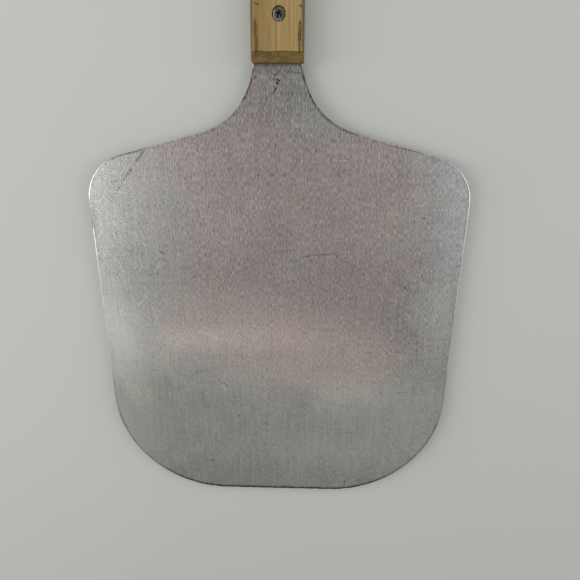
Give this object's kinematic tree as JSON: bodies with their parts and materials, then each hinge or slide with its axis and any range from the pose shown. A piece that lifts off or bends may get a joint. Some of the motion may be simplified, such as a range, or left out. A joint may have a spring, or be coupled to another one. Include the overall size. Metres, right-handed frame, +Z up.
{
  "type": "pizza peel",
  "caption": "Flat aluminium pizza peel with rounded front corners, sloping shoulders and a slotted wooden handle held by countersunk screws.",
  "frame": {"origin": "middle of the overall length and width, on the plane of the handle's underside", "axes": "+Y from the blade's front edge to the far end of the handle, +Z up out of the blade's upper face, +X to the right"},
  "size_m": [0.3048, 0.6604, 0.0191],
  "materials": {
    "blade_aluminium": "worn, finely brushed along the length",
    "handle_wood": "straight-grained, satin, darkened along the edges",
    "screw_steel": "dulled zinc-plated steel"
  },
  "bodies": {
    "root": {"blade": "blade_aluminium", "handle": "handle_wood", "screw_front": "screw_steel", "screw_rear": "screw_steel"}
  },
  "joints": []
}
